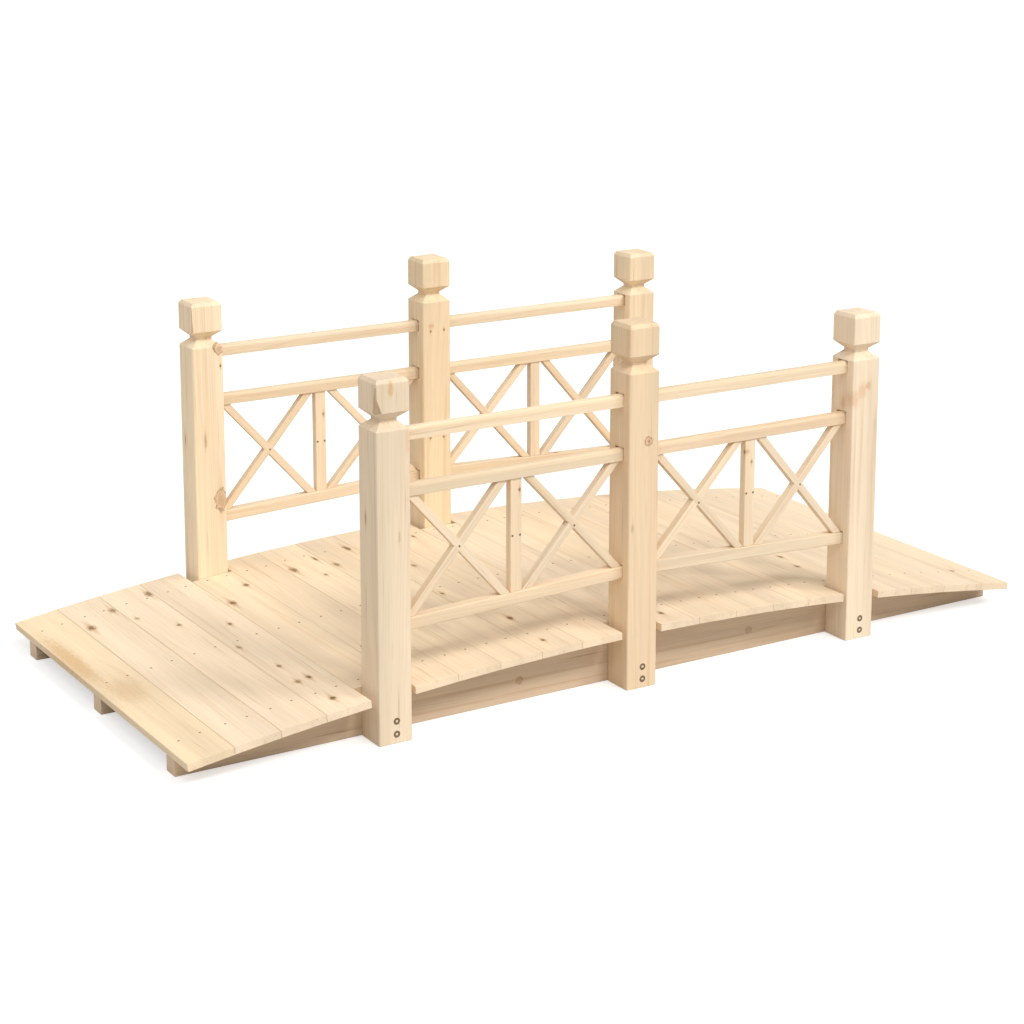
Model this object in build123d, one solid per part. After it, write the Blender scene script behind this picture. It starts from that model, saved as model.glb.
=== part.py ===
from build123d import *
import math
import os

# Small arched garden bridge in untreated softwood, millimetres, +Z up.
# X runs along the bridge and Y across it. The origin lies on the ground under its middle.

# Joists: three planks on edge with a straight underside and a top sawn to one long arc
joist_length = 1472.0
joist_thickness = 28.0
joist_end_height = 27.0
joist_mid_height = 82.5
frame_width = 564.0

# Deck boards, laid across the joists as close as their number allows
plank_width = 70.3
plank_least_gap = 0.25
plank_thickness = 11.5
deck_overhang = 2.7
plank_arris = 0.5
short_plank_clearance = 1.0

# Square posts, three on each side, screwed to the outer faces of the outer joists
post_size = 53.0
post_arris = 1.5
post_spacing = 421.0
end_post_height = 530.0
middle_post_height = 560.0
plank_post_clearance = 2.0

# Post head, from the top down: chamfer, block, then a groove with a short flat floor
head_chamfer_inset = 4.0
head_chamfer_height = 6.0
head_block_height = 41.5
groove_undercut_height = 11.0
groove_floor_height = 4.0
groove_shoulder_height = 11.0
groove_depth = 13.0

# Railings, two bays a side
rail_depth = 18.0
rail_height = 18.5
rail_round = 7.0
rail_arris = 1.0
rail_shift = 2.0
top_rail_drop = 94.5
middle_rail_z = 354.0
bottom_rail_end_z = 157.5
bottom_rail_middle_z = 172.5

# Mortises in the posts
mortise_depth = 12.0
mortise_end_clearance = 1.0
mortise_side_clearance = 2.5
mortise_headroom = 1.5

# Lattice between the middle and the bottom rail
slat_depth = 13.0
baluster_width = 19.0
brace_foot = 16.0
brace_top_gap = 4.0
brace_foot_gap = 0.5

# Worked out from the sizes above
deck_width = frame_width + 2.0 * post_size
arch_rise = joist_mid_height - joist_end_height
arch_radius = ((joist_length / 2.0) ** 2 + arch_rise ** 2) / (2.0 * arch_rise)
arch_centre_z = joist_mid_height - arch_radius
arch_length = 2.0 * arch_radius * math.asin(joist_length / 2.0 / arch_radius)
deck_run = arch_length + 2.0 * deck_overhang
plank_count = math.floor((deck_run + plank_least_gap) / (plank_width + plank_least_gap))
plank_pitch = (deck_run - plank_width) / (plank_count - 1)
plank_step = plank_pitch / arch_radius
top_rail_z = end_post_height - top_rail_drop
post_y = frame_width / 2.0 + post_size / 2.0
rail_y = post_y + rail_shift

sides = {"front": -1, "back": 1}
post_places = {"left": -post_spacing, "middle": 0, "right": post_spacing}
bays = {"left": -1, "right": 1}


def across(outline, y_centre, depth):
    """Closed outline of (x, z) points, given thickness along Y about y_centre."""
    face = make_face(Polyline([(x, y_centre, z) for x, z in outline], close=True))
    return extrude(face, amount=depth / 2.0, dir=(0, 1, 0), both=True)


def joist(y_centre):
    """Flat underside, upright ends and an arc from end to end on top."""
    half = joist_length / 2.0
    underside = Polyline(
        (-half, y_centre, joist_end_height),
        (-half, y_centre, 0),
        (half, y_centre, 0),
        (half, y_centre, joist_end_height),
    )
    top = ThreePointArc(
        (half, y_centre, joist_end_height),
        (0, y_centre, joist_mid_height),
        (-half, y_centre, joist_end_height),
    )
    face = make_face(underside + top)
    return extrude(face, amount=joist_thickness / 2.0, dir=(0, 1, 0), both=True)


def plank_angle(index):
    """How far round the arch a board lies from the crown, in radians."""
    return (index - (plank_count - 1) / 2.0) * plank_step


def plank_meets_post(index):
    """True for the boards that end at the inner faces of the posts."""
    reach = (plank_width + post_size) / 2.0 + plank_post_clearance
    x = arch_radius * math.sin(plank_angle(index))
    return any(abs(x - place) < reach for place in post_places.values())


def plank(index):
    """Flat board resting on the arc at its own tangent."""
    if plank_meets_post(index):
        length = frame_width - 2.0 * short_plank_clearance
    else:
        length = deck_width
    board = Box(plank_width, length, plank_thickness)
    top_edges = board.faces().sort_by(Axis.Z)[-1].edges().filter_by(Axis.Y)
    board = chamfer(top_edges, plank_arris)
    hub = Pos(0, 0, arch_centre_z) * Rot(0, math.degrees(plank_angle(index)), 0)
    return hub * Pos(0, 0, arch_radius + plank_thickness / 2.0) * board


def post_profile(height):
    """Half widths and heights of the post from the ground up."""
    half = post_size / 2.0
    block_top = height - head_chamfer_height
    block_bottom = block_top - head_block_height
    neck_top = block_bottom - groove_undercut_height
    neck_bottom = neck_top - groove_floor_height
    shoulder = neck_bottom - groove_shoulder_height
    return [
        (half, 0.0),
        (half, shoulder),
        (half - groove_depth, neck_bottom),
        (half - groove_depth, neck_top),
        (half, block_bottom),
        (half, block_top),
        (half - head_chamfer_inset, height),
    ]


def post_blank(height):
    """The head is milled the same on all four faces, so two crossed profiles give it."""
    right = post_profile(height)
    left = [(-reach, z) for reach, z in reversed(right)]
    outline = right + left
    along_y = make_face(Polyline([(reach, 0, z) for reach, z in outline], close=True))
    along_x = make_face(Polyline([(0, reach, z) for reach, z in outline], close=True))
    first = extrude(along_y, amount=post_size, dir=(0, 1, 0), both=True)
    second = extrude(along_x, amount=post_size, dir=(1, 0, 0), both=True)
    blank = first & second
    neck_edge = (post_size - groove_depth) / 2.0
    outer = blank.edges().filter_by(Axis.Z).filter_by(lambda edge: abs(edge.center().X) > neck_edge)
    return chamfer(outer, post_arris)


def post_face_x(place, toward):
    """Face of a post that looks toward the next bay."""
    return place + toward * post_size / 2.0


def bay_faces(bay):
    """X of the two post faces that bound a bay, outer post first."""
    outer = post_face_x(bay * post_spacing, -bay)
    inner = post_face_x(0.0, bay)
    return outer, inner


def rail_underside(kind, bay):
    """Height of a rail's underside at the outer and at the middle post."""
    if kind == "top_rail":
        return top_rail_z, top_rail_z
    if kind == "middle_rail":
        return middle_rail_z, middle_rail_z
    return bottom_rail_end_z, bottom_rail_middle_z


def underside_at(kind, bay, x):
    """Height of a rail's underside at any place along its bay."""
    outer, inner = bay_faces(bay)
    z_outer, z_inner = rail_underside(kind, bay)
    return z_outer + (z_inner - z_outer) * (x - outer) / (inner - outer)


def rail_outline(kind, bay, reach, height):
    """Side view of a rail that runs past both post faces by reach."""
    outer, inner = bay_faces(bay)
    x_outer = outer + bay * reach
    x_inner = inner - bay * reach
    low_outer = underside_at(kind, bay, x_outer)
    low_inner = underside_at(kind, bay, x_inner)
    return [
        (x_outer, low_outer),
        (x_inner, low_inner),
        (x_inner, low_inner + height),
        (x_outer, low_outer + height),
    ]


def rail(kind, bay, side):
    """Rail with its ends let into the posts."""
    outline = rail_outline(kind, bay, mortise_depth - mortise_end_clearance, rail_height)
    bar = across(outline, side * rail_y, rail_depth)
    long_edges = bar.edges().filter_by(lambda edge: edge.length > post_spacing / 2.0)
    by_height = long_edges.sort_by(Axis.Z)
    if kind == "bottom_rail":
        return chamfer(by_height, rail_arris)
    bar = fillet(by_height[-2:], rail_round)
    return bar


def mortise(kind, bay, side):
    """Space that a rail's ends fill in the posts, with room at its sides and above."""
    width = rail_depth + 2.0 * mortise_side_clearance
    outline = rail_outline(kind, bay, mortise_depth, rail_height + mortise_headroom)
    return across(outline, side * post_y, width)


def post(place_name, side):
    """Post with the mortises of the rails that end in it."""
    place = post_places[place_name]
    height = middle_post_height if place_name == "middle" else end_post_height
    solid = Pos(place, side * post_y, 0) * post_blank(height)
    for bay in bays.values():
        if place_name == "middle" or place * bay > 0:
            for kind in ("top_rail", "middle_rail", "bottom_rail"):
                solid = solid - mortise(kind, bay, side)
    return solid


def lattice_top():
    return middle_rail_z


def lattice_bottom(bay, x):
    return underside_at("bottom_rail", bay, x) + rail_height


def baluster(bay, side):
    """Upright slat in the middle of a bay, cut to the slope of the bottom rail."""
    outer, inner = bay_faces(bay)
    centre = (outer + inner) / 2.0
    left = centre - baluster_width / 2.0
    right = centre + baluster_width / 2.0
    outline = [
        (left, lattice_bottom(bay, left)),
        (right, lattice_bottom(bay, right)),
        (right, lattice_top()),
        (left, lattice_top()),
    ]
    return across(outline, side * rail_y, slat_depth)


def brace(bay, x_top, x_bottom):
    """Slanting slat, from its left edge at the top to its left edge at the bottom."""
    x_foot = x_bottom + brace_foot
    return [
        (x_top, lattice_top()),
        (x_bottom, lattice_bottom(bay, x_bottom)),
        (x_foot, lattice_bottom(bay, x_foot)),
        (x_top + brace_foot, lattice_top()),
    ]


def cross(bay, side, left, right):
    """Two slats halved into each other, as one piece in one plane."""
    falling = brace(bay, left + brace_top_gap, right - brace_foot_gap - brace_foot)
    rising = brace(bay, right - brace_top_gap - brace_foot, left + brace_foot_gap)
    slats = [across(outline, side * rail_y, slat_depth) for outline in (falling, rising)]
    return slats[0] + slats[1]


def crosses(bay, side):
    """The two crosses of a bay, one each side of its baluster."""
    low, high = sorted(bay_faces(bay))
    centre = (low + high) / 2.0
    left = cross(bay, side, low, centre - baluster_width / 2.0)
    right = cross(bay, side, centre + baluster_width / 2.0, high)
    return Compound(children=[left, right])


def pieces():
    """Every piece of the bridge by name."""
    outer_joist_y = frame_width / 2.0 - joist_thickness / 2.0
    yield "joist_front", joist(-outer_joist_y)
    yield "joist_middle", joist(0.0)
    yield "joist_back", joist(outer_joist_y)
    for index in range(plank_count):
        yield "plank_%02d" % (index + 1), plank(index)
    for side_name, side in sides.items():
        for place_name in post_places:
            yield "post_%s_%s" % (side_name, place_name), post(place_name, side)
        for bay_name, bay in bays.items():
            ending = "%s_%s" % (side_name, bay_name)
            for kind in ("top_rail", "middle_rail", "bottom_rail"):
                yield "%s_%s" % (kind, ending), rail(kind, bay, side)
            yield "baluster_" + ending, baluster(bay, side)
            yield "crosses_" + ending, crosses(bay, side)


def main():
    os.makedirs("parts", exist_ok=True)
    for name, solid in pieces():
        export_step(solid, os.path.join("parts", name + ".step"))


main()
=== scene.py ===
import math
import random

import bmesh
import bpy
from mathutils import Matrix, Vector
from mathutils.bvhtree import BVHTree


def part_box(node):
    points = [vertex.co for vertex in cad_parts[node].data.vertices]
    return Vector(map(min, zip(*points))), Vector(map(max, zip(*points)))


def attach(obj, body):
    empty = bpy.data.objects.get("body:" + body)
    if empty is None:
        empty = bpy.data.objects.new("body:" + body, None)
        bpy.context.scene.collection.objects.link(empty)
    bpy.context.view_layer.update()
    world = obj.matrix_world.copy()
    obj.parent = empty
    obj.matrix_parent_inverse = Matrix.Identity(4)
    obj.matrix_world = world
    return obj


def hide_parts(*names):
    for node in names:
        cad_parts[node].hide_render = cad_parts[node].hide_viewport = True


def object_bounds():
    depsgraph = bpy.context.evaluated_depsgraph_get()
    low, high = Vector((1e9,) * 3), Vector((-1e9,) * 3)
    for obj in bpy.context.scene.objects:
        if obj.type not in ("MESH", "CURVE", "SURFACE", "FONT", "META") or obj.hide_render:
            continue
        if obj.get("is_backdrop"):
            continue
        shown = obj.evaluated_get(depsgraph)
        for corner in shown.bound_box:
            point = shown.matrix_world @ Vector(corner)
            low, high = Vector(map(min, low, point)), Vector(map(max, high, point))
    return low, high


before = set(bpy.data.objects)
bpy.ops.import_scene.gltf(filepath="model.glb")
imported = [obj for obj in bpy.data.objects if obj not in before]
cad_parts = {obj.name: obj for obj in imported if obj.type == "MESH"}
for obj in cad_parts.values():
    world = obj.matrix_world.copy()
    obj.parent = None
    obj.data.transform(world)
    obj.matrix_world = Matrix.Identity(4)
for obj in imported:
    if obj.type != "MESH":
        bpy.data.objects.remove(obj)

# Garden bridge in pale untreated softwood, in metres. Front is the railing nearest the camera.
cad_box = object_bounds()
chance = random.Random(41)

# Camera, fitted to the corners of the posts, heads and joists
image_size = 1024
camera_place = Vector((-1.9091, -3.0788, 1.2685))
camera_azimuth = 0.5495
camera_descent = 0.1988
focal_pixels = 2336.2
centre_column = 512
centre_row = 300
sensor_width = 36
nearest_seen = 0.05
farthest_seen = 60

# Timber, with the lattice's sizes as the solids have them
edge_ease = 0.0006
lattice_ease = 0.0008
easing_angle = math.radians(28)
wood_crease = math.radians(40)
metal_crease = math.radians(50)
flat_angle = math.radians(0.5)
merge_distance = 1e-5
rail_height = 0.0185
mortise_headroom = 0.0015
tight_headroom = 0.0005
brace_foot = 0.016
brace_top_gap = 0.004
brace_foot_gap = 0.0005
lap_step = 0.0003
post_wall = 0.003
level_tolerance = 0.0005

# How the timber of a solid may differ: lean of its fibres, place along them, light and warmth
most_lean = 0.02
fibre_starts = (2, 40)
lights = (0.965, 1.03)
most_warmth = 0.02

# Least and greatest distance of the pith from the middle of a piece
joist_pith = (0.05, 0.12)
plank_pith = (0.03, 0.10)
post_pith = (0.02, 0.06)
rail_pith = (0.02, 0.08)
baluster_pith = (0.02, 0.08)
brace_pith = (0.02, 0.09)

# Fixings
deck_nail_rows = (-0.258, 0.002, 0.268)
deck_nail_spread = 0.017
deck_nail_shift = 0.002
deck_nail_scatter_x = 0.0015
deck_nail_scatter_y = 0.002
baluster_pin_spread = 0.0064
baluster_pin_height = 0.2685
cross_pin_shift = 0.002
cross_pin_scatter = 0.002
cross_pin_height = 0.2675
screw_heights = (0.0333, 0.0140)
screw_shift = 0.0015

# Heads of the fixings: radius and height of each ring, and how many sides they have
nail_head = ((0.0018, -0.0008), (0.0018, 0.00006), (0.00144, 0.00015)), 12
# Screw heads and sockets: the heads' dark colour is partly painted shade of the countersunk
# hole, and the proud sockets' pale colour is a painted glint in the recess.
screw_head = ((0.0052, -0.001), (0.0052, 0.0001), (0.0046, 0.00025), (0.0021, 0.00005)), 28
screw_socket = ((0.0021, -0.0005), (0.0019, 0.0002), (0.0008, 0.00035)), 20

# Wane on the heads of the left posts, where the tree's round was kept: depth below the top, and
# how far the missing corner reaches along the front face and along the left face. The back post
# has less of it.
wane_steps = ((0.0100, 0.0000, 0.0020), (0.0270, 0.0005, 0.0050), (0.0475, 0.0085, 0.0090))
wane_shares = {"front": 1.0, "back": 0.22}
facet_slant = -0.2

# Knots and marks: image column and row, radius, stretch along the grain, and how dark, how
# pink and how dark-rimmed each one is. One that is less than 0 dark is a tan stain.
marks = {
    "near left head, patch": ((390.5, 388.5), 0.0034, 3.0, (-0.85, 0.00, 0.00)),
    "near left head, streak": ((396.5, 398.0), 0.0011, 12.0, (0.10, 0.20, 0.00)),
    "near left shaft, pink streak": ((407.5, 443.0), 0.0030, 6.0, (0.00, 0.75, 0.00)),
    "near left shaft, fleck": ((399.5, 537.0), 0.0020, 5.0, (0.22, 0.00, 0.00)),
    "near left shaft, left face": ((365.5, 518.0), 0.0026, 4.0, (0.45, 0.10, 0.00)),
    "near middle shaft, knot": ((648.8, 441.0), 0.0060, 1.0, (0.16, 0.65, 0.75)),
    "near middle shaft, heart": ((649.3, 441.5), 0.0020, 1.4, (0.60, 0.10, 0.00)),
    "near middle shaft, small knot": ((632.5, 529.0), 0.0026, 2.4, (0.25, 0.00, 0.20)),
    "near right neck, knot": ((868.5, 385.5), 0.0052, 1.3, (0.14, 0.85, 0.00)),
    "near right neck, stain": ((862.5, 391.0), 0.0085, 1.3, (-0.25, 0.55, 0.00)),
    "near right shaft, stain": ((854.5, 400.0), 0.0085, 1.4, (-0.20, 0.55, 0.00)),
    "near right, left face": ((843.0, 402.5), 0.0060, 1.8, (0.06, 0.95, 0.00)),
    "far middle, red blotch": ((431.5, 326.0), 0.0055, 0.7, (0.12, 0.95, 0.10)),
    # Painted shade: the next two are dark dots at the far middle post's neck groove, where it
    # lies in shade.
    "far middle, painted shade in groove": ((430.6, 331.5), 0.0020, 1.2, (0.90, 0.00, 0.00)),
    "far middle, right painted shade in groove": ((444.0, 329.5), 0.0020, 1.2, (0.80, 0.00, 0.00)),
    "far middle, shaft upper": ((430.5, 438.3), 0.0020, 1.0, (0.80, 0.00, 0.00)),
    "far middle, shaft right": ((444.0, 436.6), 0.0020, 1.0, (0.80, 0.00, 0.00)),
    "far middle, head streak": ((435.0, 272.0), 0.0034, 7.0, (0.00, 0.45, 0.00)),
    "far right neck": ((624.0, 307.0), 0.0060, 1.4, (0.00, 0.60, 0.00)),
    "far left, at the rail": ((219.0, 348.5), 0.0080, 1.0, (0.30, 0.55, 0.85)),
    "far left, dot": ((220.5, 365.8), 0.0022, 1.0, (0.90, 0.00, 0.00)),
    "far left, low": ((221.5, 500.0), 0.0092, 1.7, (0.30, 0.60, 0.65)),
    "far left, streak": ((205.5, 441.0), 0.0026, 5.0, (0.35, 0.10, 0.00)),
    "far left, left face": ((185.5, 440.0), 0.0024, 5.0, (0.45, 0.10, 0.00)),
    "near left baluster, upper": ((519.5, 489.6), 0.0022, 1.4, (0.80, 0.00, 0.00)),
    # Painted shadow: dark patch on the rising slat just below the lap, where the falling slat
    # shades it.
    "near left cross": ((563.5, 522.0), 0.0030, 1.3, (0.70, 0.10, 0.00)),
    "near right baluster, upper": ((744.6, 451.7), 0.0030, 1.2, (0.70, 0.10, 0.00)),
    "near right baluster, right": ((751.5, 462.0), 0.0024, 1.2, (0.60, 0.10, 0.00)),
    "far left baluster": ((323.5, 414.0), 0.0028, 1.2, (0.50, 0.30, 0.00)),
    "deck 1": ((91.5, 628.0), 0.0063, 1.6, (0.84, 0.25, 0.25)),
    "deck 2": ((112.5, 610.5), 0.0052, 1.8, (0.68, 0.10, 0.30)),
    "deck 3": ((148.5, 594.0), 0.0056, 1.9, (0.74, 0.10, 0.35)),
    "deck 4": ((137.0, 618.5), 0.0036, 1.6, (0.47, 0.10, 0.20)),
    "deck 5": ((246.0, 585.0), 0.0045, 1.6, (0.88, 0.10, 0.25)),
    "deck 6": ((232.5, 603.0), 0.0052, 1.9, (0.88, 0.15, 0.25)),
    "deck 7": ((230.0, 624.0), 0.0035, 1.6, (0.81, 0.15, 0.20)),
    "deck 8": ((239.0, 647.5), 0.0033, 2.2, (0.61, 0.15, 0.20)),
    "deck 9": ((293.5, 570.0), 0.0056, 2.1, (0.81, 0.20, 0.25)),
    "deck 10": ((315.0, 559.0), 0.0032, 3.2, (0.88, 0.00, 0.00)),
    "deck 11": ((336.5, 564.5), 0.0048, 1.9, (0.68, 0.45, 0.20)),
    "deck 12": ((347.0, 548.5), 0.0043, 2.8, (0.88, 0.00, 0.10)),
    "deck 13": ((279.0, 666.0), 0.0032, 1.6, (0.88, 0.10, 0.20)),
    "deck 14": ((308.5, 677.0), 0.0045, 1.4, (0.97, 0.00, 0.00)),
    "deck 15": ((298.0, 681.5), 0.0043, 1.5, (0.68, 0.30, 0.25)),
    "deck 16": ((332.5, 698.0), 0.0045, 1.4, (0.97, 0.00, 0.10)),
    "deck 17": ((510.0, 618.0), 0.0048, 1.6, (0.97, 0.00, 0.10)),
    "deck 18": ((543.0, 640.0), 0.0037, 1.4, (0.97, 0.00, 0.10)),
    "deck 19": ((442.0, 593.5), 0.0030, 1.6, (0.97, 0.00, 0.10)),
    "deck 20": ((780.5, 557.0), 0.0040, 1.8, (0.81, 0.10, 0.20)),
    "deck 21": ((797.0, 566.3), 0.0040, 1.5, (0.97, 0.00, 0.10)),
    "deck 22": ((661.0, 613.0), 0.0040, 1.5, (0.97, 0.00, 0.10)),
    "end board, stain": ((72.0, 661.0), 0.0120, 8.0, (-0.75, 0.00, 0.00)),
    "end board, blotch": ((128.0, 690.0), 0.0190, 2.2, (-0.42, 0.00, 0.00)),
    "near joist, right bay": ((748.4, 629.5), 0.0046, 1.1, (0.26, 0.20, 0.60)),
    "near joist, left bay": ((519.0, 680.5), 0.0048, 1.1, (0.28, 0.20, 0.60)),
}

# Pieces that are paler, greyer or warmer than their fellows
tints = {
    "post_front_left": (0.970, 1.005, 1.03),
    "post_front_middle": (0.935, 0.950, 0.90),
    "post_front_right": (1.020, 1.015, 1.06),
    "post_back_left": (1.060, 1.010, 1.01),
    "post_back_middle": (1.020, 0.985, 0.94),
    "plank_01": (1.000, 0.995, 0.95),
    "middle_rail_front_right": (0.970, 0.945, 0.91),
    "bottom_rail_front_left": (0.980, 0.965, 0.93),
    "baluster_front_left": (0.980, 0.970, 0.95),
}

# Most marks on a piece, and their depth in radii: seen in the photograph, or scattered
most_marks = 6
sight_depth = 2.5
scattered_depth = 1.1
least_inward = 0.3

# Where rays start that look for a face: so far from a piece, or so high above the ground
ray_distance = 2
ray_height = 1

# Scattered knots: directions they are looked for in, and how often one is found
scatter_margin = 0.009
scatter_radii = (0.0025, 0.0045)
scatter_stretches = (1.1, 1.6)
scatter_darks = (0.5, 0.9)
scatter_pinks = (0.0, 0.3)
scatter_rims = (0.1, 0.3)
scatter_views = {
    "deck_wood": (((0, 0, -1), (0, 0, 1)), 0.35),
    "lattice_wood": (((0, -1, 0),), 0.25),
}
other_views = ((0, -1, 0), (-1, 0, 0), (0, -1, 0)), 0.6

# Timber of each slot: early wood, late wood and how strongly they differ
timbers = {
    "joist_wood": ((0.76, 0.58, 0.40), (0.55, 0.35, 0.19), 1.10),
    "deck_wood": ((0.87, 0.695, 0.49), (0.68, 0.46, 0.25), 0.70),
    "post_wood": ((0.86, 0.69, 0.48), (0.67, 0.44, 0.24), 0.78),
    "rail_wood": ((0.85, 0.68, 0.475), (0.67, 0.44, 0.24), 0.80),
    "lattice_wood": ((0.85, 0.68, 0.48), (0.67, 0.45, 0.26), 0.80),
    # Darker brown timber for the facets of the waned corners.
    "darker_wane": ((0.66, 0.47, 0.29), (0.46, 0.28, 0.15), 1.00),
}
ring_spacing = 0.0036
ring_sharpness = 2.2
ring_wander = 0.022
knot_swell = 0.004
knot_ragged = 1.5
trail_stretch = (0.26, 1.4, 1.0)
wood_relief = 0.00018
metal_relief = 0.00005
metal_darkening = 0.7
metal_share = 0.35
metal_unevenness = 0.15

# Noises: how often each repeats in a metre, along the fibres and twice across them, and detail
ragged_noise = (140, 330, 330), 4.0
wander_noise = (1.6, 14, 14), 2.0
uneven_noise = (0.9, 34, 34), 2.0
cloud_noise = (1.1, 20, 20), 2.0
fibre_noise = (9, 420, 420), 4.0
streak_noise = (2.2, 110, 110), 3.0
fleck_noise = (6, 190, 190), 2.0
mottle_noise = (900, 900, 900), 3.0

# How strongly each layer covers the timber
ring_cover = 0.26
streak_cover = 0.52
fleck_cover = 0.60
end_cover = 0.08
trail_cover = 0.62
halo_cover = 0.50
heart_cover = 0.75

# Colours of what lies on the timber
fleck_color = (0.50, 0.31, 0.16)
end_color = (0.62, 0.47, 0.32)
stain_color = (0.66, 0.42, 0.20)
trail_color = (0.55, 0.33, 0.15)
halo_color = (0.62, 0.40, 0.19)
heart_color = (0.80, 0.48, 0.29)
core_color = (0.20, 0.11, 0.04)
rim_color = (0.30, 0.17, 0.08)

# Floor and light: a long strip in front, made of four suns, and a broad one at the left.
# Directions are in degrees to the right of the front, heights in degrees above the ground.
floor_reach = 14
floor_drop = 0.0003
floor_grey = 0.58
floor_glow = 0.55
sky_strength = 0.45
strip_suns = {
    "strip_0": (-45, 0.25),
    "strip_30": (-15, 0.53),
    "strip_60": (15, 0.94),
    "strip_90": (45, 0.94),
}
strip_height = 45
strip_spread = 14
left_sun_azimuth = -95
left_sun_height = 52
left_sun_strength = 0.47
left_sun_spread = 40
sun_distance = 3


# Camera

def view_axes():
    """Forward, right and up of the camera."""
    forward = Vector((
        math.sin(camera_azimuth) * math.cos(camera_descent),
        math.cos(camera_azimuth) * math.cos(camera_descent),
        -math.sin(camera_descent),
    ))
    right = Vector((math.cos(camera_azimuth), -math.sin(camera_azimuth), 0))
    return forward, right, right.cross(forward)


def sight_line(pixel):
    """Direction from the camera through a place in the photograph."""
    forward, right, up = view_axes()
    column, row = pixel
    aside = right * ((column - centre_column) / focal_pixels)
    below = up * ((centre_row - row) / focal_pixels)
    return (forward + aside + below).normalized()


def make_camera():
    data = bpy.data.cameras.new("camera")
    data.sensor_width = sensor_width
    data.lens = focal_pixels / image_size * sensor_width
    data.shift_y = (centre_row - image_size / 2) / image_size
    data.clip_start = nearest_seen
    data.clip_end = farthest_seen
    camera = bpy.data.objects.new("camera", data)
    camera.location = camera_place
    camera.rotation_euler = view_axes()[0].to_track_quat("-Z", "Y").to_euler()
    bpy.context.scene.collection.objects.link(camera)
    bpy.context.scene.camera = camera


# Materials

class Shading:
    """A material's node tree, built from small steps."""

    def __init__(self, name):
        self.material = bpy.data.materials.new(name)
        self.material.use_nodes = True
        self.nodes = self.material.node_tree.nodes
        self.links = self.material.node_tree.links
        self.shader = self.nodes["Principled BSDF"]

    def put(self, socket, value):
        if isinstance(value, bpy.types.NodeSocket):
            self.links.new(value, socket)
        else:
            socket.default_value = value

    def attribute(self, name):
        node = self.nodes.new("ShaderNodeAttribute")
        node.attribute_name = name
        return node.outputs["Vector"]

    def math(self, operation, first, second=0.0):
        node = self.nodes.new("ShaderNodeMath")
        node.operation = operation
        self.put(node.inputs[0], first)
        self.put(node.inputs[1], second)
        return node.outputs[0]

    def vector(self, operation, first, second=(0, 0, 0)):
        node = self.nodes.new("ShaderNodeVectorMath")
        node.operation = operation
        self.put(node.inputs[0], first)
        self.put(node.inputs[1], second)
        return node.outputs["Value" if operation in ("LENGTH", "DOT_PRODUCT") else "Vector"]

    def split(self, vector):
        node = self.nodes.new("ShaderNodeSeparateXYZ")
        self.put(node.inputs[0], vector)
        return node.outputs

    def noise(self, vector, stretch, detail):
        node = self.nodes.new("ShaderNodeTexNoise")
        node.inputs["Scale"].default_value = 1.0
        node.inputs["Detail"].default_value = detail
        self.put(node.inputs["Vector"], self.vector("MULTIPLY", vector, stretch))
        return node.outputs["Fac"]

    def span(self, value, low, high, to_low=0.0, to_high=1.0):
        node = self.nodes.new("ShaderNodeMapRange")
        node.interpolation_type = "SMOOTHSTEP"
        self.put(node.inputs["Value"], value)
        node.inputs["From Min"].default_value = low
        node.inputs["From Max"].default_value = high
        node.inputs["To Min"].default_value = to_low
        node.inputs["To Max"].default_value = to_high
        return node.outputs[0]

    def mix(self, factor, first, second, blend="MIX"):
        node = self.nodes.new("ShaderNodeMix")
        node.data_type = "RGBA"
        node.blend_type = blend
        self.put(node.inputs["Factor"], factor)
        self.put(node.inputs["A"], first)
        self.put(node.inputs["B"], second)
        return node.outputs["Result"]

    def bump(self, height, distance):
        node = self.nodes.new("ShaderNodeBump")
        node.inputs["Distance"].default_value = distance
        self.put(node.inputs["Height"], height)
        self.put(self.shader.inputs["Normal"], node.outputs[0])


def color(red, green, blue):
    return (red, green, blue, 1.0)


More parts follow.
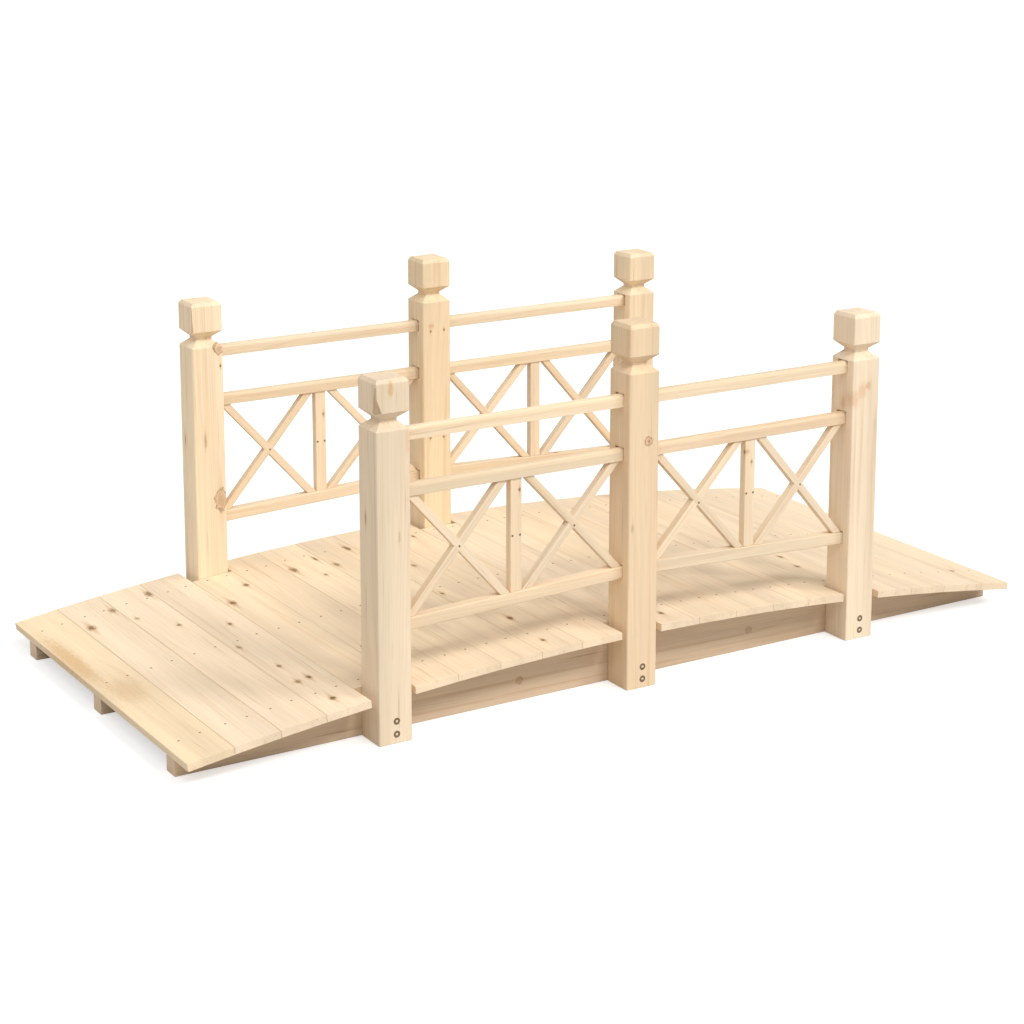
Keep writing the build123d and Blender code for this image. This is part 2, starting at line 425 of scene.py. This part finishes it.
def wood(name, pale, late, contrast, knots):
    """Solid timber: growth rings round a pith, fibres along it, and so many knots."""
    tree = Shading(name)
    grain = tree.attribute("grain")
    tone = tree.split(tree.attribute("tone"))

    ragged = tree.math("SUBTRACT", tree.noise(grain, *ragged_noise), 0.5)
    ragged = tree.math("MULTIPLY", ragged, knot_ragged)
    knot_cover = 0.0
    knot_steps = []
    for index in range(knots):
        place = tree.attribute("mark_%d" % (index + 1))
        look = tree.split(tree.attribute("look_%d" % (index + 1)))
        dark = tree.math("MAXIMUM", look[0], 0.0)
        tan = tree.math("MAXIMUM", tree.math("MULTIPLY", look[0], -1.0), 0.0)
        reach = tree.math("ADD", tree.vector("LENGTH", place), ragged)
        tail = tree.vector("LENGTH", tree.vector("MULTIPLY", place, trail_stretch))
        knot_steps.append((reach, tail, dark, tan, look[1], look[2]))
        weight = tree.math("MINIMUM", tree.math("ADD", dark, look[2]), 1.0)
        swell = tree.math("MULTIPLY", tree.span(reach, 0.3, 3.2, 1.0, 0.0), weight)
        knot_cover = tree.math("ADD", swell, knot_cover)

    parts = tree.split(grain)
    section = tree.nodes.new("ShaderNodeCombineXYZ")
    tree.put(section.inputs[1], parts[1])
    tree.put(section.inputs[2], parts[2])
    wander = tree.math("MULTIPLY", tree.noise(grain, *wander_noise), ring_wander)
    radius = tree.math("ADD", tree.vector("LENGTH", section.outputs[0]), wander)
    radius = tree.math("ADD", radius, tree.math("MULTIPLY", knot_cover, knot_swell))
    turns = tree.math("MULTIPLY", radius, 2 * math.pi / ring_spacing)
    ring = tree.math("MULTIPLY", tree.math("ADD", tree.math("SINE", turns), 1.0), 0.5)
    ring = tree.math("POWER", ring, ring_sharpness)
    uneven = tree.span(tree.noise(grain, *uneven_noise), 0.35, 0.7)
    ring = tree.math("MULTIPLY", ring, tree.math("ADD", tree.math("MULTIPLY", uneven, 0.8), 0.2))

    cloud = tree.noise(grain, *cloud_noise)
    fibre = tree.noise(grain, *fibre_noise)
    streak = tree.noise(grain, *streak_noise)

    ringed = tree.math("MULTIPLY", ring, ring_cover * contrast)
    surface = tree.mix(ringed, color(*pale), color(*late))
    warm = tree.math("MULTIPLY", tree.span(streak, 0.50, 0.78), streak_cover * contrast)
    surface = tree.mix(warm, surface, color(*late))
    fleck = tree.noise(grain, *fleck_noise)
    fleck = tree.math("MULTIPLY", tree.span(fleck, 0.64, 0.78), fleck_cover * contrast)
    surface = tree.mix(fleck, surface, color(*fleck_color))
    clouded = tree.span(cloud, 0.25, 0.75, 0.90, 1.06)
    fibred = tree.span(fibre, 0.2, 0.8, 0.95, 1.04)
    light = tree.math("MULTIPLY", clouded, fibred)
    light = tree.math("MULTIPLY", light, tone[0])
    tint = tree.nodes.new("ShaderNodeCombineXYZ")
    tree.put(tint.inputs[0], light)
    tree.put(tint.inputs[1], tree.math("MULTIPLY", light, tone[1]))
    tree.put(tint.inputs[2], tree.math("MULTIPLY", light, tone[2]))
    surface = tree.mix(1.0, surface, tint.outputs[0], "MULTIPLY")

    facing = tree.nodes.new("ShaderNodeNewGeometry").outputs["Normal"]
    across_fibre = tree.vector("DOT_PRODUCT", facing, tree.attribute("fibre"))
    end = tree.span(tree.math("ABSOLUTE", across_fibre), 0.6, 0.95)
    surface = tree.mix(tree.math("MULTIPLY", end, end_cover), surface, color(*end_color))

    for reach, tail, dark, tan, pink, rimmed in knot_steps:
        stain = tree.math("MULTIPLY", tree.span(reach, 0.4, 1.7, 1.0, 0.0), tan)
        surface = tree.mix(stain, surface, color(*stain_color))
        trail = tree.math("MULTIPLY", tree.span(tail, 0.2, 1.3, 1.0, 0.0), dark)
        trail = tree.math("MULTIPLY", trail, trail_cover)
        surface = tree.mix(trail, surface, color(*trail_color))
        halo = tree.math("MULTIPLY", tree.span(reach, 0.8, 2.0, 1.0, 0.0), dark)
        halo = tree.math("MULTIPLY", halo, halo_cover)
        surface = tree.mix(halo, surface, color(*halo_color))
        heart = tree.math("MULTIPLY", tree.span(reach, 0.35, 1.45, 1.0, 0.0), pink)
        heart = tree.math("MULTIPLY", heart, heart_cover)
        surface = tree.mix(heart, surface, color(*heart_color))
        core = tree.math("MULTIPLY", tree.span(reach, 0.5, 1.1, 1.0, 0.0), dark)
        surface = tree.mix(core, surface, color(*core_color))
        inner = tree.span(reach, 0.85, 1.05)
        outer = tree.span(reach, 1.10, 1.35, 1.0, 0.0)
        rim = tree.math("MULTIPLY", tree.math("MULTIPLY", inner, outer), rimmed)
        surface = tree.mix(rim, surface, color(*rim_color))

    tree.put(tree.shader.inputs["Base Color"], surface)
    tree.put(tree.shader.inputs["Roughness"], tree.span(fibre, 0.2, 0.8, 0.58, 0.76))
    tree.shader.inputs["Specular IOR Level"].default_value = 0.3
    relief = tree.math("ADD", fibre, tree.math("MULTIPLY", ring, 0.5))
    tree.bump(relief, wood_relief)
    return tree.material


def metal(name, base, roughness):
    """Dull plated fixing with a slightly mottled skin."""
    tree = Shading(name)
    place = tree.nodes.new("ShaderNodeTexCoord").outputs["Object"]
    mottle = tree.noise(place, *mottle_noise)
    darker = [metal_darkening * part for part in base]
    surface = tree.mix(tree.span(mottle, 0.3, 0.7), color(*base), color(*darker))
    rough = tree.span(mottle, 0.3, 0.7, roughness, roughness + metal_unevenness)
    tree.put(tree.shader.inputs["Base Color"], surface)
    tree.put(tree.shader.inputs["Roughness"], rough)
    tree.shader.inputs["Metallic"].default_value = metal_share
    tree.bump(mottle, metal_relief)
    return tree.material


made_woods = {}


def wood_for(slot, knots):
    """The slot's timber, with as many knots as the piece has."""
    if (slot, knots) not in made_woods:
        name = slot if knots == 0 else "%s_%d" % (slot, knots)
        made_woods[slot, knots] = wood(name, *timbers[slot], knots)
    return made_woods[slot, knots]


# Dark fixings: the pins' own colour, and on the post screws' heads partly painted shade of the
# countersink. The pale one is a painted glint for the screws' sockets.
dark_metal = metal("fixing_dark", (0.24, 0.165, 0.085), 0.5)
glint_metal = metal("fixing_painted_glint", (0.85, 0.78, 0.62), 0.35)
rusty_metal = metal("fixing_rusty", (0.36, 0.21, 0.10), 0.6)


# Solids and the way their timber grew

class Timber:
    """Fibre direction of a solid, where its pith lies and how its colour departs."""

    def __init__(self, centre, along, across, pith):
        self.centre = centre
        self.along = along.normalized()
        self.across = across.normalized()
        self.through = self.along.cross(self.across)
        angle = chance.uniform(0, 2 * math.pi)
        distance = chance.uniform(*pith)
        self.pith = Vector((0, math.cos(angle) * distance, math.sin(angle) * distance))
        self.lean = chance.uniform(-most_lean, most_lean), chance.uniform(-most_lean, most_lean)
        self.start = chance.uniform(*fibre_starts)
        light = chance.uniform(*lights)
        warmth = chance.uniform(-most_warmth, most_warmth)
        self.tone = Vector((light, 1 - 0.4 * warmth, 1 - 1.6 * warmth))

    def local(self, point):
        away = point - self.centre
        return Vector((away.dot(self.along), away.dot(self.across), away.dot(self.through)))

    def grain(self, point):
        place = self.local(point)
        aside, under = self.lean
        place.y += aside * place.x
        place.z += under * place.x
        place -= self.pith
        place.x += self.start
        return place


def cleaned(mesh):
    """The CAD solid with its flat faces whole again."""
    shape = bmesh.new()
    shape.from_mesh(mesh)
    bmesh.ops.remove_doubles(shape, verts=shape.verts, dist=merge_distance)
    bmesh.ops.dissolve_limit(
        shape, angle_limit=flat_angle, verts=shape.verts, edges=shape.edges
    )
    return shape


def prism(outline, low_y, high_y):
    """Solid between two planes along Y, from (x, z) points."""
    shape = bmesh.new()
    near = [shape.verts.new((x, low_y, z)) for x, z in outline]
    far = [shape.verts.new((x, high_y, z)) for x, z in outline]
    shape.faces.new(near)
    shape.faces.new(far[::-1])
    for index in range(len(outline)):
        following = (index + 1) % len(outline)
        shape.faces.new((near[following], near[index], far[index], far[following]))
    bmesh.ops.recalc_face_normals(shape, faces=shape.faces)
    return shape


def eased(shape, width):
    """Sharp edges taken off, as handling and a light sanding do."""
    sharp = [
        edge for edge in shape.edges
        if len(edge.link_faces) == 2 and edge.calc_face_angle_signed(0) > easing_angle
    ]
    bmesh.ops.bevel(
        shape, geom=sharp, offset=width, offset_type="OFFSET", segments=2, profile=0.5,
        affect="EDGES", clamp_overlap=True,
    )
    return shape


def cut_across(shape, level):
    """New edges round a solid at a height, with its form as it was."""
    bmesh.ops.bisect_plane(
        shape, geom=shape.verts[:] + shape.edges[:] + shape.faces[:], dist=merge_distance,
        plane_co=(0, 0, level), plane_no=(0, 0, 1),
    )


class Piece:
    """A dressed piece that stands for one CAD node."""

    def __init__(self, node, slot):
        self.node = node
        self.slot = slot
        self.solids = []
        self.marks = []
        self.has_darker_wane = False

    def add(self, shape, timber):
        self.solids.append((shape, timber))

    def mark(self, hit, normal, mark):
        if len(self.marks) < most_marks:
            self.marks.append((hit, normal, mark))

    def joined(self):
        """All solids together, and the timber that each point belongs to."""
        whole = bmesh.new()
        owners = []
        for shape, timber in self.solids:
            part = bpy.data.meshes.new("part")
            shape.to_mesh(part)
            whole.from_mesh(part)
            owners += [timber] * len(part.vertices)
            bpy.data.meshes.remove(part)
        return whole, owners

    def tree(self):
        return BVHTree.FromBMesh(self.joined()[0])

    def build(self):
        whole, owners = self.joined()
        mesh = bpy.data.meshes.new("wood_" + self.node)
        whole.to_mesh(mesh)
        whole.free()
        mesh.shade_smooth()
        mesh.set_sharp_from_angle(angle=wood_crease)
        points = [vertex.co.copy() for vertex in mesh.vertices]
        write(mesh, "grain", [timber.grain(point) for timber, point in zip(owners, points)])
        tint = Vector(tints.get(self.node, (1, 1, 1)))
        write(mesh, "tone", [timber.tone * tint for timber in owners])
        write(mesh, "fibre", [timber.along for timber in owners])
        for index, (hit, normal, (sight, radius, stretch, look)) in enumerate(self.marks):
            depth = radius * (sight_depth if sight else scattered_depth)
            places = []
            for timber, point in zip(owners, points):
                along, across, inward = knot_axes(timber.along, normal)
                away = point - hit
                places.append(Vector((
                    away.dot(along) / (radius * stretch),
                    away.dot(across) / radius,
                    away.dot(inward) / depth,
                )))
            write(mesh, "mark_%d" % (index + 1), places)
            write(mesh, "look_%d" % (index + 1), [Vector(look)] * len(points))
        mesh.materials.append(wood_for(self.slot, len(self.marks)))
        if self.has_darker_wane:
            mesh.materials.append(wood_for("darker_wane", 0))
        piece = bpy.data.objects.new("wood_" + self.node, mesh)
        bpy.context.scene.collection.objects.link(piece)
        modifier = piece.modifiers.new("even shading", "WEIGHTED_NORMAL")
        modifier.keep_sharp = True
        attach(piece, "root")
        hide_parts(self.node)


def knot_axes(along, normal):
    """A knot's own directions: with the fibres, across them, and into the face it shows on."""
    inward = normal - along * normal.dot(along)
    if inward.length < least_inward:
        inward = along.orthogonal()
    inward.normalize()
    return along, along.cross(inward), inward


def write(mesh, name, vectors):
    """Keeps a vector for each point of a mesh, for its material to read."""
    layer = mesh.attributes.new(name, "FLOAT_VECTOR", "POINT")
    layer.data.foreach_set("vector", [part for vector in vectors for part in vector])


# The bridge

along_x = Vector((1, 0, 0))
along_y = Vector((0, 1, 0))
along_z = Vector((0, 0, 1))
sides = ("front", "back")
places = ("left", "middle", "right")
bays = ("left", "right")


def middle_of(node):
    low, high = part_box(node)
    return (low + high) / 2


def rail_at(post, kind):
    """A rail of one kind that ends in a post."""
    return post.replace("post", kind + "_rail").replace("_middle", "_left")


def tighten(shape, node):
    """All posts hold the top rails more closely, and all but the left ones the middle rails."""
    low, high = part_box(node)
    for kind in ("top",) if node.endswith("left") else ("top", "middle"):
        rail_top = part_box(rail_at(node, kind))[1].z
        for vertex in shape.verts:
            inside = low.y + post_wall < vertex.co.y < high.y - post_wall
            if inside and abs(vertex.co.z - rail_top - mortise_headroom) < level_tolerance:
                vertex.co.z = rail_top + tight_headroom


def parted(shape, node):
    """A post cut across through and between its mortises, so that no face has a hole in it."""
    levels = []
    for kind in ("bottom", "middle", "top"):
        levels.append(middle_of(rail_at(node, kind)).z)
    levels += [(lower + upper) / 2 for lower, upper in zip(levels, levels[1:])]
    for level in levels:
        cut_across(shape, level)
    return shape


def plain_piece(node, slot, along, across, pith, ease):
    """A piece with the CAD solid's own form and its edges eased."""
    piece = Piece(node, slot)
    shape = cleaned(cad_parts[node].data)
    if slot == "post_wood":
        tighten(shape, node)
    shape = eased(shape, ease)
    if slot == "post_wood":
        shape = parted(shape, node)
    piece.add(shape, Timber(middle_of(node), along, across, pith))
    return piece


def waned_post(node, share):
    """Post whose head kept some of the tree's round at its near left corner."""
    piece = Piece(node, "post_wood")
    shape = cleaned(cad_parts[node].data)
    tighten(shape, node)
    low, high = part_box(node)
    for depth, _, _ in wane_steps[:-1]:
        cut_across(shape, high.z - depth)
    for depth, along_front, along_left in wane_steps:
        for vertex in shape.verts:
            at_corner = vertex.co.x < low.x + post_wall and vertex.co.y < low.y + post_wall
            if at_corner and abs(vertex.co.z - high.z + depth) < level_tolerance:
                if vertex.co.x > low.x + level_tolerance:
                    vertex.co.x += along_front * share
                else:
                    vertex.co.y += along_left * share
    # Facets of the missing corner take the second, darker brown timber.
    for face in shape.faces:
        face.normal_update()
        centre = face.calc_center_median()
        in_block = high.z - wane_steps[-1][0] < centre.z < high.z - wane_steps[0][0]
        if in_block and face.normal.x < facet_slant and face.normal.y < facet_slant:
            face.material_index = 1
    piece.has_darker_wane = True
    shape = parted(eased(shape, edge_ease), node)
    piece.add(shape, Timber(middle_of(node), along_z, along_x, post_pith))
    return piece


def cross_pieces(side, bay):
    """Two crosses; in each one slat shows in front at the lap and the other at the back."""
    node = "crosses_%s_%s" % (side, bay)
    piece = Piece(node, "lattice_wood")
    low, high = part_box(node)
    baluster_low, baluster_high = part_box("baluster_%s_%s" % (side, bay))
    rail_low, rail_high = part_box("bottom_rail_%s_%s" % (side, bay))
    rise = rail_high.z - rail_low.z - rail_height
    slope = rise / (rail_high.x - rail_low.x)
    rail_end = rail_low.x
    if bay == "right":
        slope = -slope
        rail_end = rail_high.x

    def foot(x):
        """Height of the bottom rail's top."""
        return rail_low.z + rail_height + slope * (x - rail_end)

    bay_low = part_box("post_%s_%s" % (side, "left" if bay == "left" else "middle"))[1].x
    bay_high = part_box("post_%s_%s" % (side, "middle" if bay == "left" else "right"))[0].x
    head = high.z
    for left, right in ((bay_low, baluster_low.x), (baluster_high.x, bay_high)):
        falling = (left + brace_top_gap, right - brace_foot_gap - brace_foot)
        rising = (right - brace_top_gap - brace_foot, left + brace_foot_gap)
        for (top, bottom), near, far in ((falling, 0, lap_step), (rising, lap_step, 0)):
            outline = [
                (top, head),
                (bottom, foot(bottom)),
                (bottom + brace_foot, foot(bottom + brace_foot)),
                (top + brace_foot, head),
            ]
            shape = prism(outline, low.y + near, high.y - far)
            along = Vector((bottom - top, 0, foot(bottom) - head))
            centre = Vector(((top + bottom + brace_foot) / 2, (low.y + high.y) / 2, head / 2))
            piece.add(eased(shape, lattice_ease), Timber(centre, along, along_y, brace_pith))
    return piece


def timber_pieces():
    """Every wooden piece of the bridge, dressed but not yet built."""
    for place in ("front", "middle", "back"):
        node = "joist_" + place
        yield plain_piece(node, "joist_wood", along_x, along_y, joist_pith, edge_ease)
    for node in sorted(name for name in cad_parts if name.startswith("plank_")):
        yield plain_piece(node, "deck_wood", along_y, along_x, plank_pith, edge_ease)
    for side in sides:
        for place in places:
            node = "post_%s_%s" % (side, place)
            if place == "left":
                yield waned_post(node, wane_shares[side])
            else:
                yield plain_piece(node, "post_wood", along_z, along_x, post_pith, edge_ease)
        for bay in bays:
            for kind in ("top_rail", "middle_rail", "bottom_rail"):
                node = "%s_%s_%s" % (kind, side, bay)
                yield plain_piece(node, "rail_wood", along_x, along_y, rail_pith, edge_ease)
            node = "baluster_%s_%s" % (side, bay)
            slot = "lattice_wood"
            yield plain_piece(node, slot, along_z, along_x, baluster_pith, lattice_ease)
            yield cross_pieces(side, bay)


def place_marks(pieces):
    """Each mark goes on the first piece that its line of sight meets."""
    trees = [(piece, piece.tree()) for piece in pieces]
    for mark in marks.values():
        direction = sight_line(mark[0])
        nearest = None
        for piece, tree in trees:
            hit, normal, _, distance = tree.ray_cast(camera_place, direction)
            if hit is not None and (nearest is None or distance < nearest[0]):
                nearest = distance, piece, hit, normal
        if nearest is not None:
            nearest[1].mark(nearest[2], nearest[3], mark)
    scatter_marks(trees)


def scatter_marks(trees):
    """Knots on the faces that the photograph doesn't show, and a few more in the deck."""
    for piece, tree in trees:
        low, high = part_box(piece.node)
        views, share = scatter_views.get(piece.slot, other_views)
        margin = Vector([min(scatter_margin, 0.5 * (b - a)) for a, b in zip(low, high)])
        for view in views:
            if chance.random() > share:
                continue
            view = Vector(view)
            place = Vector([
                chance.uniform(a, b) for a, b in zip(low + margin, high - margin)
            ])
            hit, normal, _, _ = tree.ray_cast(place - view * ray_distance, view)
            radius = chance.uniform(*scatter_radii)
            dark = chance.uniform(*scatter_darks)
            look = (dark, chance.uniform(*scatter_pinks), chance.uniform(*scatter_rims))
            if hit is not None:
                stretch = chance.uniform(*scatter_stretches)
                piece.mark(hit, normal, (None, radius, stretch, look))


# Fixings

def lathe(shape, centre, axis, head):
    """Round head from the radius and height of its rings, closed at its middle."""
    profile, segments = head
    side = axis.orthogonal().normalized()
    other = axis.cross(side)
    rings = []
    for radius, height in profile:
        ring = []
        for step in range(segments):
            angle = 2 * math.pi * step / segments
            out = side * math.cos(angle) + other * math.sin(angle)
            ring.append(shape.verts.new(centre + out * radius + axis * height))
        rings.append(ring)
    for lower, upper in zip(rings, rings[1:]):
        for step in range(segments):
            following = (step + 1) % segments
            shape.faces.new((lower[step], lower[following], upper[following], upper[step]))
    shape.faces.new(rings[-1])


def fixing_object(name, shape, material):
    """One piece with all fixings of a kind."""
    bmesh.ops.recalc_face_normals(shape, faces=shape.faces)
    mesh = bpy.data.meshes.new(name)
    shape.to_mesh(mesh)
    shape.free()
    mesh.shade_smooth()
    mesh.set_sharp_from_angle(angle=metal_crease)
    mesh.materials.append(material)
    piece = bpy.data.objects.new(name, mesh)
    bpy.context.scene.collection.objects.link(piece)
    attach(piece, "root")


def deck_nails(pieces):
    """Two nails through each board into each joist."""
    shape = bmesh.new()
    for piece in pieces:
        if not piece.node.startswith("plank_"):
            continue
        tree = piece.tree()
        centre = middle_of(piece.node)
        for row in deck_nail_rows:
            for way in (-1, 1):
                x = centre.x + deck_nail_shift + way * deck_nail_spread
                x += chance.uniform(-deck_nail_scatter_x, deck_nail_scatter_x)
                y = row + chance.uniform(-deck_nail_scatter_y, deck_nail_scatter_y)
                hit, normal, _, _ = tree.ray_cast(Vector((x, y, ray_height)), -along_z)
                if hit is not None:
                    lathe(shape, hit, normal, nail_head)
    fixing_object("deck_nails", shape, rusty_metal)


def lattice_nails():
    """Pins where the slats of a bay cross and where they meet its upright slat."""
    shape = bmesh.new()
    for side in sides:
        for bay in bays:
            low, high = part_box("baluster_%s_%s" % (side, bay))
            centre = (low + high) / 2
            for aside in (-baluster_pin_spread, baluster_pin_spread):
                place = Vector((centre.x + aside, low.y, baluster_pin_height))
                lathe(shape, place, -along_y, nail_head)
            cross_low, cross_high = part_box("crosses_%s_%s" % (side, bay))
            for left, right in ((cross_low.x, low.x), (high.x, cross_high.x)):
                x = (left + right) / 2 + cross_pin_shift
                x += chance.uniform(-cross_pin_scatter, cross_pin_scatter)
                place = Vector((x, cross_low.y, cross_pin_height))
                lathe(shape, place, -along_y, nail_head)
    fixing_object("lattice_nails", shape, dark_metal)


def post_screws():
    """Two countersunk screws through each post's foot into its joist."""
    heads = bmesh.new()
    sockets = bmesh.new()
    for side in sides:
        axis = -along_y if side == "front" else along_y
        for place in places:
            low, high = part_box("post_%s_%s" % (side, place))
            face = low.y if side == "front" else high.y
            for height in screw_heights:
                centre = Vector(((low.x + high.x) / 2 + screw_shift, face, height))
                # Dark heads, partly painted shade of the countersink round them, and pale
                # sockets, a painted glint in the recess.
                lathe(heads, centre, axis, screw_head)
                lathe(sockets, centre, axis, screw_socket)
    fixing_object("post_screws", heads, dark_metal)
    fixing_object("post_screw_sockets", sockets, glint_metal)


# Floor and light

def make_floor():
    """Pale floor that looks white to the camera and keeps the bridge's shadow."""
    mesh = bpy.data.meshes.new("floor")
    shape = bmesh.new()
    bmesh.ops.create_grid(shape, x_segments=1, y_segments=1, size=floor_reach)
    shape.to_mesh(mesh)
    shape.free()
    floor = bpy.data.objects.new("floor", mesh)
    floor.location.z = -floor_drop
    bpy.context.scene.collection.objects.link(floor)
    tree = Shading("floor")
    grey = color(floor_grey, floor_grey, floor_grey)
    tree.shader.inputs["Base Color"].default_value = grey
    tree.shader.inputs["Roughness"].default_value = 0.9
    tree.shader.inputs["Emission Color"].default_value = color(1, 1, 1)
    seen = tree.nodes.new("ShaderNodeLightPath").outputs["Is Camera Ray"]
    tree.put(tree.shader.inputs["Emission Strength"], tree.math("MULTIPLY", seen, floor_glow))
    mesh.materials.append(tree.material)
    floor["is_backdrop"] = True


def make_world():
    """Even sky, and plain white where the camera or a shiny surface sees it."""
    world = bpy.data.worlds.new("studio")
    bpy.context.scene.world = world
    world.use_nodes = True
    nodes = world.node_tree.nodes
    links = world.node_tree.links
    backdrop = nodes["Background"]
    backdrop.inputs["Color"].default_value = color(1, 1, 1)
    path = nodes.new("ShaderNodeLightPath")
    seen = nodes.new("ShaderNodeMath")
    seen.operation = "MAXIMUM"
    links.new(path.outputs["Is Camera Ray"], seen.inputs[0])
    links.new(path.outputs["Is Glossy Ray"], seen.inputs[1])
    level = nodes.new("ShaderNodeMapRange")
    links.new(seen.outputs[0], level.inputs["Value"])
    level.inputs["To Min"].default_value = sky_strength
    level.inputs["To Max"].default_value = 1.0
    links.new(level.outputs[0], backdrop.inputs["Strength"])


def sun(name, toward, height, strength, spread):
    """Even light from a direction: degrees to the right of the front, and above the ground."""
    data = bpy.data.lights.new(name, "SUN")
    data.energy = strength
    data.angle = math.radians(spread)
    light = bpy.data.objects.new(name, data)
    around, above = math.radians(toward), math.radians(height)
    place = Vector((
        math.sin(around) * math.cos(above),
        -math.cos(around) * math.cos(above),
        math.sin(above),
    ))
    light.location = place * sun_distance
    light.rotation_euler = (-place).to_track_quat("-Z", "Y").to_euler()
    bpy.context.scene.collection.objects.link(light)


make_camera()
pieces = list(timber_pieces())
place_marks(pieces)
deck_nails(pieces)
lattice_nails()
post_screws()
for piece in pieces:
    piece.build()
make_floor()
make_world()
for name, (azimuth, strength) in strip_suns.items():
    sun(name, azimuth, strip_height, strength, strip_spread)
sun("left", left_sun_azimuth, left_sun_height, left_sun_strength, left_sun_spread)
bpy.context.scene.view_settings.view_transform = "Standard"

boxes = {"cad": cad_box, "visual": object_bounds()}
{name: [list(corner) for corner in box] for name, box in boxes.items()}
